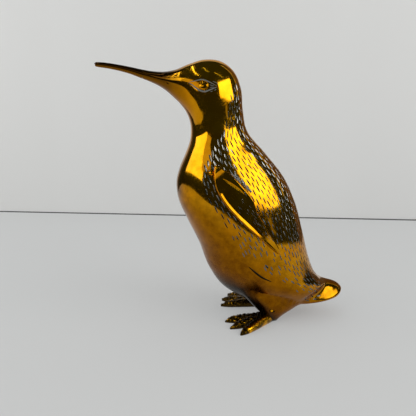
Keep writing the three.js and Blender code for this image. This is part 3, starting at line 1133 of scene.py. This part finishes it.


# Patina and painted shade, its places in metres. A range runs from where a film or shade is full
# to where it ends, and an edge the other way.
BROWN_AND_SHADE_RANGE = (0.165, 0.275)
BROWN_AND_SHADE_MOST = 0.85
BROWN_AND_SHADE_BEHIND = 0.01
BROWN_AND_SHADE_FALL = 0.72
BROWN_AND_SHADE_CLOUDS = 0.09
BROWN_AND_SHADE_STAINS = 0.14
STAIN_FINENESS = 2.6
BEAK_SHADE_RANGE = (-0.048, -0.03)
BEAK_SHADE_STAINS = 0.012
LEG_SHADE_REACH = 0.044
LEG_SHADE_CLOUDS = 0.014
LEG_SHADE_EDGE = (-0.005, 0.006)
LEG_SHADE_RANGE = (0.034, 0.052)
CLOUD_VALUES = (0.42, 0.6)
SPECK_VALUES = (0.42, 0.7)


def make_patina_and_shade():
    group, start, end, place = new_group(
        "patina_and_shade",
        (("Cloud Scale", 40.0), ("Speck Scale", 400.0)),
        ("Clouds", "Specks", "Browning And Shade", "Leg Shade", "Beak Shade"),
    )
    clouds = noise_of(group, place, start["Cloud Scale"])
    specks = noise_of(group, place, start["Speck Scale"], detail=3.0)
    finer = times(group, start["Cloud Scale"], STAIN_FINENESS)
    stains = noise_of(group, place, finer, detail=5.0, roughness=0.65)
    x, y, z = split(group, place)

    # Browned, with painted shade, on the belly and the legs, less and less towards the tail and
    # the throat
    behind = arithmetic(group, "MAXIMUM", added(group, x, BROWN_AND_SHADE_BEHIND), 0.0)
    level = added(group, z, times(group, behind, BROWN_AND_SHADE_FALL))
    level = added(group, level, times(group, clouds, BROWN_AND_SHADE_CLOUDS))
    level = added(group, level, times(group, stains, BROWN_AND_SHADE_STAINS))
    plug(group, remap(group, level, *BROWN_AND_SHADE_RANGE, BROWN_AND_SHADE_MOST, 0.0), end["Browning And Shade"])

    # Painted shade, dark on the beak, less and less towards the cheeks
    from_tip = added(group, x, times(group, stains, BEAK_SHADE_STAINS))
    plug(group, remap(group, from_tip, *BEAK_SHADE_RANGE, 1.0, 0.0), end["Beak Shade"])

    # Painted shade, nearly black, at the front of the legs
    ahead = arithmetic(group, "SUBTRACT", LEG_SHADE_REACH, added(group, x, z))
    ahead = added(group, ahead, times(group, clouds, LEG_SHADE_CLOUDS))
    low = remap(group, z, *LEG_SHADE_RANGE, 1.0, 0.0)
    plug(group, times(group, remap(group, ahead, *LEG_SHADE_EDGE), low), end["Leg Shade"])
    plug(group, remap(group, clouds, *CLOUD_VALUES), end["Clouds"])
    plug(group, remap(group, specks, *SPECK_VALUES), end["Specks"])
    return group


def make_hand_finish():
    """The low waves that filing and polishing by hand leave."""
    group, start, end, place = new_group(
        "hand finish", (("Wave Height", 0.0001), ("Wave Scale", 30.0)), ("Height",)
    )
    waves = noise_of(group, place, start["Wave Scale"], detail=2.0, roughness=0.4)
    plug(group, times(group, waves, start["Wave Height"]), end["Height"])
    return group


patina_and_shade = make_patina_and_shade()
hand_finish = make_hand_finish()


def new_material(name):
    material = bpy.data.materials.new(name)
    material.use_nodes = True
    tree = material.node_tree
    shader = tree.nodes["Principled BSDF"]
    return material, tree, shader


BRASS = (0.9, 0.42, 0.008, 1.0)
WARM_BRASS = (0.74, 0.3, 0.004, 1.0)
# Darker brass painted as shade on the skin that faces down
SHADED_UNDER_BRASS = (0.5, 0.19, 0.001, 1.0)
# Brass browned and darkened with painted shade, low on the belly and the legs
BROWNED_AND_SHADED_BRASS = (0.15, 0.044, 0.001, 1.0)
# Nearly black, painted shade at the front of the legs
SHADED_LEG_BRASS = (0.03, 0.02, 0.012, 1.0)
# Dark, painted shade on the beak
SHADED_BEAK_BRASS = (0.05, 0.018, 0.003, 1.0)
TARNISH = (0.055, 0.03, 0.004, 1.0)
CHISELLED = (0.5, 0.49, 0.46, 1.0)
# Darker grey of the cuts where the skin is browned and painted with shade
BROWNED_AND_SHADED_CHISELLED = (0.16, 0.165, 0.165, 1.0)
MATT_GREY = (0.24, 0.24, 0.23, 1.0)
# Near black, painted shade on the sides of cuts
SHADED_CUT_SIDE = (0.02, 0.018, 0.012, 1.0)

# How far the skin faces up where the painted shade of the underside, and the painted shade
# that is strongest on the beak's top, begin and end
UNDER_SHADE_RANGE = (-0.35, 0.12)
UNDER_SHADE_MOST = 0.9
BEAK_SHADE_UPWARD = (-0.55, -0.1)
BEAK_SHADE_SHARES = (0.68, 0.96)

# Roughness from clean to specked, and of cuts and browned metal
SPECKED_ROUGHNESS = (0.07, 0.16)
CUT_ROUGHNESS = 0.26
BROWNED_ROUGHNESS = 0.34
PIN_ROUGHNESS = (0.14, 0.26)
FOOT_ROUGHNESS = (0.34, 0.12)
MATT_METALLIC = 0.2
FOOT_CLOUDS = (0.62, 1.0)
FOOT_WORN = (0.5, 0.95)


def add_waves(tree, shader, height, scale):
    """Bumps a metal's surface with the hand finish."""
    wave = use_group(tree, hand_finish, Wave_Height=height, Wave_Scale=scale)
    bump = add_node(tree, "ShaderNodeBump")
    plug(tree, wave["Height"], bump.inputs["Height"])
    bump.inputs["Distance"].default_value = 1.0
    plug(tree, bump.outputs["Normal"], shader.inputs["Normal"])


def attribute(tree, name):
    return add_node(tree, "ShaderNodeAttribute", attribute_name=name).outputs["Fac"]


def polished_material():
    """Brass with its patina and painted shade, and the floors and sides of the cuts in it."""
    material, tree, shader = new_material("polished brass")
    film_and_shade = use_group(tree, patina_and_shade, Cloud_Scale=45.0, Speck_Scale=500.0)
    dull = attribute(tree, "dull")
    upward = split(tree, add_node(tree, "ShaderNodeNewGeometry").outputs["Normal"])[2]
    # Painted shade: the skin darkens as it faces down
    underside_shade = remap(tree, upward, *UNDER_SHADE_RANGE, UNDER_SHADE_MOST, 0.0)
    # Painted shade on the beak, strongest where it faces up
    beak_shade = times(tree, film_and_shade["Beak Shade"], remap(tree, upward, *BEAK_SHADE_UPWARD, *BEAK_SHADE_SHARES))
    skin_colour = blend_colours(tree, film_and_shade["Clouds"], BRASS, WARM_BRASS)
    # The skin's tone, then painted shade underneath, browning with painted shade, and painted
    # shade on the legs and beak
    for share, film_and_shade_colour in (
        (underside_shade, SHADED_UNDER_BRASS),
        (film_and_shade["Browning And Shade"], BROWNED_AND_SHADED_BRASS),
        (film_and_shade["Leg Shade"], SHADED_LEG_BRASS),
        (beak_shade, SHADED_BEAK_BRASS),
    ):
        skin_colour = blend_colours(tree, share, skin_colour, film_and_shade_colour)
    # Cuts turn a darker grey where the skin is browned and painted with shade
    worn = remap(tree, film_and_shade["Browning And Shade"], 0.0, 0.3)
    grey = blend_colours(tree, worn, CHISELLED, BROWNED_AND_SHADED_CHISELLED)
    # Painted shade: near black in the shaded cuts and on the steep sides of grey cuts
    colour = blend_colours(tree, remap(tree, dull, POLISHED, SHADED), skin_colour, SHADED_CUT_SIDE)
    colour = blend_colours(tree, remap(tree, dull, SHADED, GREY), colour, grey)
    colour = blend_colours(tree, remap(tree, dull, GREY, MATT), colour, MATT_GREY)
    plug(tree, colour, shader.inputs["Base Color"])
    plug(tree, remap(tree, dull, GREY, MATT, 1.0, MATT_METALLIC), shader.inputs["Metallic"])
    rough = remap(tree, film_and_shade["Specks"], 0.0, 1.0, *SPECKED_ROUGHNESS)
    for duller in (
        remap(tree, dull, POLISHED, SHADED, 0.0, CUT_ROUGHNESS),
        remap(tree, film_and_shade["Browning And Shade"], 0.2, 1.0, 0.0, BROWNED_ROUGHNESS),
    ):
        rough = arithmetic(tree, "MAXIMUM", rough, duller)
    plug(tree, rough, shader.inputs["Roughness"])
    add_waves(tree, shader, height=0.0004, scale=38.0)
    return material


def pin_material():
    """Bare brass, filed flat."""
    material, tree, shader = new_material("pin brass")
    film_and_shade = use_group(tree, patina_and_shade, Cloud_Scale=300.0, Speck_Scale=900.0)
    plug(tree, blend_colours(tree, film_and_shade["Clouds"], BRASS, WARM_BRASS), shader.inputs["Base Color"])
    plug(tree, remap(tree, film_and_shade["Specks"], 0.0, 1.0, *PIN_ROUGHNESS), shader.inputs["Roughness"])
    shader.inputs["Metallic"].default_value = 1.0
    add_waves(tree, shader, height=0.0001, scale=600.0)
    return material


def foot_material():
    """Tarnished brass, worn bright on what stands out."""
    material, tree, shader = new_material("rough brass")
    film_and_shade = use_group(tree, patina_and_shade, Cloud_Scale=120.0, Speck_Scale=900.0)
    patches = remap(tree, film_and_shade["Clouds"], 0.0, 1.0, *FOOT_CLOUDS)
    worn = remap(tree, times(tree, attribute(tree, "raised"), patches), *FOOT_WORN)
    plug(tree, blend_colours(tree, worn, TARNISH, BRASS), shader.inputs["Base Color"])
    plug(tree, remap(tree, worn, 0.0, 1.0, *FOOT_ROUGHNESS), shader.inputs["Roughness"])
    shader.inputs["Metallic"].default_value = 1.0
    add_waves(tree, shader, height=0.0002, scale=700.0)
    return material


for metal, pieces in (
    (polished_material(), (body, beak, left_flipper, right_flipper)),
    (foot_material(), (left_foot, right_foot)),
    (pin_material(), (left_pin, right_pin)),
):
    for piece in pieces:
        piece.data.materials.clear()
        piece.data.materials.append(metal)


# Stage: table, wall, and surroundings that only the shiny metal shows
def plain_material(name, colour, roughness=0.6):
    material, tree, shader = new_material(name)
    shader.inputs["Base Color"].default_value = (*colour, 1)
    shader.inputs["Roughness"].default_value = roughness
    return material


def glow_material(name, colour, strength=1.0):
    material = bpy.data.materials.new(name)
    material.use_nodes = True
    tree = material.node_tree
    tree.nodes.clear()
    glow = add_node(tree, "ShaderNodeEmission")
    glow.inputs["Color"].default_value = (*colour, 1)
    glow.inputs["Strength"].default_value = strength
    out = add_node(tree, "ShaderNodeOutputMaterial")
    tree.links.new(glow.outputs[0], out.inputs["Surface"])
    return material


def sheet_between(name, corners, material):
    mesh = bmesh.new()
    mesh.faces.new([mesh.verts.new(corner) for corner in corners])
    piece = add_object(name, mesh)
    piece.data.materials.append(material)
    return piece


def upright_sheet(name, start, end, low, high, material):
    """A sheet that stands on the line between two places, from a low to a high edge."""
    corners = ((*start, low), (*end, low), (*end, high), (*start, high))
    return sheet_between(name, corners, material)


def only_in_the_metal(piece):
    """Shows a piece in reflections alone."""
    piece.visible_camera = False
    piece.visible_diffuse = False
    piece.visible_shadow = False
    piece.visible_transmission = False


TABLE_HALF = 1.6
TABLE_FAR_LEFT = (-TABLE_HALF, 0.778)
TABLE_FAR_RIGHT = (TABLE_HALF, 0.185)
TABLE_NEAR = -0.62
TABLE_COLOUR = (0.365, 0.37, 0.37)
TABLE_GLOW = (0.258, 0.262, 0.262, 1)
ROOM_HALF = 3
WALL_COLOUR = (0.9, 0.905, 0.9)
WALL_BEHIND = 0.003
WALL_FOOT = -0.3
WALL_TOP = 1.6
# Dark colour of a strip painted as the shade in the gap behind the table
GAP_SHADE_COLOUR = (0.13, 0.135, 0.135)
GAP_FOOT = -0.001
GAP_TOP = 0.0024


def table_material():
    """Pale paint that the camera, shiny metal and glass see a little lighter than it is."""
    material = plain_material("pale table", TABLE_COLOUR, roughness=0.4)
    tree = material.node_tree
    paint = tree.nodes["Principled BSDF"]
    ray = add_node(tree, "ShaderNodeLightPath").outputs
    seen = arithmetic(tree, "MAXIMUM", ray["Is Camera Ray"], ray["Is Glossy Ray"])
    seen = arithmetic(tree, "MAXIMUM", seen, ray["Is Transmission Ray"])
    paint.inputs["Emission Color"].default_value = TABLE_GLOW
    paint.inputs["Specular IOR Level"].default_value = 0.0
    plug(tree, seen, paint.inputs["Emission Strength"])
    return material


def far_edge(x):
    """A place on the table's far edge."""
    share = (x - TABLE_FAR_LEFT[0]) / (TABLE_FAR_RIGHT[0] - TABLE_FAR_LEFT[0])
    return (x, TABLE_FAR_LEFT[1] + share * (TABLE_FAR_RIGHT[1] - TABLE_FAR_LEFT[1]))


table_paint = table_material()
sheet_between(
    "table",
    (
        (*TABLE_FAR_LEFT, 0),
        (-TABLE_HALF, TABLE_NEAR, 0),
        (TABLE_HALF, TABLE_NEAR, 0),
        (*TABLE_FAR_RIGHT, 0),
    ),
    table_paint,
)
apron = sheet_between(
    "table towards the room",
    (
        (-ROOM_HALF, TABLE_NEAR, 0),
        (-ROOM_HALF, -ROOM_HALF, 0),
        (ROOM_HALF, -ROOM_HALF, 0),
        (ROOM_HALF, TABLE_NEAR, 0),
    ),
    table_paint,
)
wall_left = (TABLE_FAR_LEFT[0], TABLE_FAR_LEFT[1] + WALL_BEHIND)
wall_right = (TABLE_FAR_RIGHT[0], TABLE_FAR_RIGHT[1] + WALL_BEHIND)
wall_paint = plain_material("pale wall", WALL_COLOUR, roughness=0.8)
wall = upright_sheet("wall", wall_left, wall_right, WALL_FOOT, WALL_TOP, wall_paint)
# A dark strip at the foot of the wall, painted shade in the gap behind the table
gap = upright_sheet(
    "painted shade behind the table", TABLE_FAR_LEFT, TABLE_FAR_RIGHT, GAP_FOOT, GAP_TOP,
    plain_material("gap", GAP_SHADE_COLOUR),
)
for piece in (apron, wall, gap):
    piece.visible_glossy = False

ROOM_RADIUS = 4.0
ROOM_COLOUR = (0.026, 0.033, 0.018)
PANEL_TOP = 0.9

room_mesh = bmesh.new()
bmesh.ops.create_uvsphere(room_mesh, u_segments=48, v_segments=24, radius=ROOM_RADIUS)
room = add_object("dark room", room_mesh)
room.data.materials.append(glow_material("dark room", ROOM_COLOUR))
only_in_the_metal(room)

# The lit part of the wall ends a little beside the bird, and brown shade begins there.
for name, start_x, end_x, colour in (
    ("lit wall", -0.3, 0.3, (0.5, 0.5, 0.48)),
    ("shaded wall left", -0.5, -0.3, (0.12, 0.09, 0.05)),
    ("shaded wall right", 0.3, 0.9, (0.12, 0.085, 0.045)),
):
    glow = glow_material(name, colour)
    panel = upright_sheet(name, far_edge(start_x), far_edge(end_x), 0, PANEL_TOP, glow)
    only_in_the_metal(panel)


def direction(azimuth, elevation):
    """Azimuth 0 is in front of the bird's left side."""
    azimuth = math.radians(azimuth)
    elevation = math.radians(elevation)
    level = math.cos(elevation)
    return Vector((math.sin(azimuth) * level, -math.cos(azimuth) * level, math.sin(elevation)))


LAMP_AIM = Vector((0, 0, 0.12))
LAMP_DISTANCE = 1.2
DAYLIGHT = (1, 1, 0.98)


def window(name, azimuth, elevation, width, height, radiance):
    """A flat lamp that faces the bird."""
    way = direction(azimuth, elevation)
    data = bpy.data.lights.new(name, "AREA")
    data.shape = "RECTANGLE"
    data.size = width
    data.size_y = height
    data.energy = radiance * math.pi * width * height
    data.color = DAYLIGHT
    lamp = bpy.data.objects.new(name, data)
    lamp.location = LAMP_AIM + way * LAMP_DISTANCE
    lamp.rotation_euler = way.to_track_quat("Z", "Y").to_euler()
    lamp.visible_camera = False
    bpy.context.scene.collection.objects.link(lamp)


window("window right", azimuth=57, elevation=28.5, width=0.89, height=0.58, radiance=2.4)
window("window left", azimuth=-76, elevation=25.5, width=1.66, height=0.45, radiance=1.8)

HEAD = Vector((-0.02, -0.02, 0.215))
STRIP_DISTANCE = 1.6
WHITE = (1, 1, 1)
COOL_WHITE = (0.8, 0.9, 1)


def strip(name, way, width, strength, colour=WHITE):
    """A glowing strip, its way and its width in degrees as seen from the head."""
    middle = [direction(azimuth, elevation) * STRIP_DISTANCE for azimuth, elevation in way]
    half_width = math.tan(math.radians(width / 2)) * STRIP_DISTANCE
    mesh = bmesh.new()
    pairs = []
    for number, here in enumerate(middle):
        ahead = middle[min(number + 1, len(middle) - 1)] - middle[max(number - 1, 0)]
        aside = ahead.cross(here).normalized() * half_width
        pairs.append((mesh.verts.new(HEAD + here - aside), mesh.verts.new(HEAD + here + aside)))
    for (a, b), (c, d) in zip(pairs, pairs[1:]):
        mesh.faces.new((a, b, d, c))
    piece = add_object(name, mesh)
    piece.data.materials.append(glow_material(name, colour, strength))
    only_in_the_metal(piece)


strip("ceiling tube one", ((-108, 63), (-64, 54), (-48, 34)), 1.0, 5.0)
strip("ceiling tube two", ((-142, 66), (-46, 66), (-23, 47)), 1.0, 5.0)
strip("ceiling edge one", ((-16, 81), (4, 67), (15, 63)), 1.0, 1.4, COOL_WHITE)
strip("ceiling edge two", ((38, 57), (49, 51), (57, 44)), 1.0, 1.4, COOL_WHITE)
strip("cupboard right", ((52, 8), (52, -1)), 6, 0.3)
strip("door edge", ((122, 58), (112, 43), (108, 22), (98, 11)), 3.5, 0.6)

# A card close to the neck, its corners given as directions from there
NECK_SIDE = Vector((-0.018, -0.027, 0.162))
CARD_DISTANCE = 0.35
CARD_CORNERS = ((-43, 19), (-17, 24), (-12, 37), (-43, 32))
CARD_COLOUR = (1, 0.92, 0.75)
card = sheet_between(
    "pale card that only the metal shows",
    [NECK_SIDE + direction(*way) * CARD_DISTANCE for way in CARD_CORNERS],
    glow_material("pale card", CARD_COLOUR, 0.65),
)
only_in_the_metal(card)

ROOM_LIGHT = (0.61, 0.61, 0.605, 1)
world = bpy.data.worlds.new("room light")
world.use_nodes = True
world.node_tree.nodes["Background"].inputs["Color"].default_value = ROOM_LIGHT
bpy.context.scene.world = world
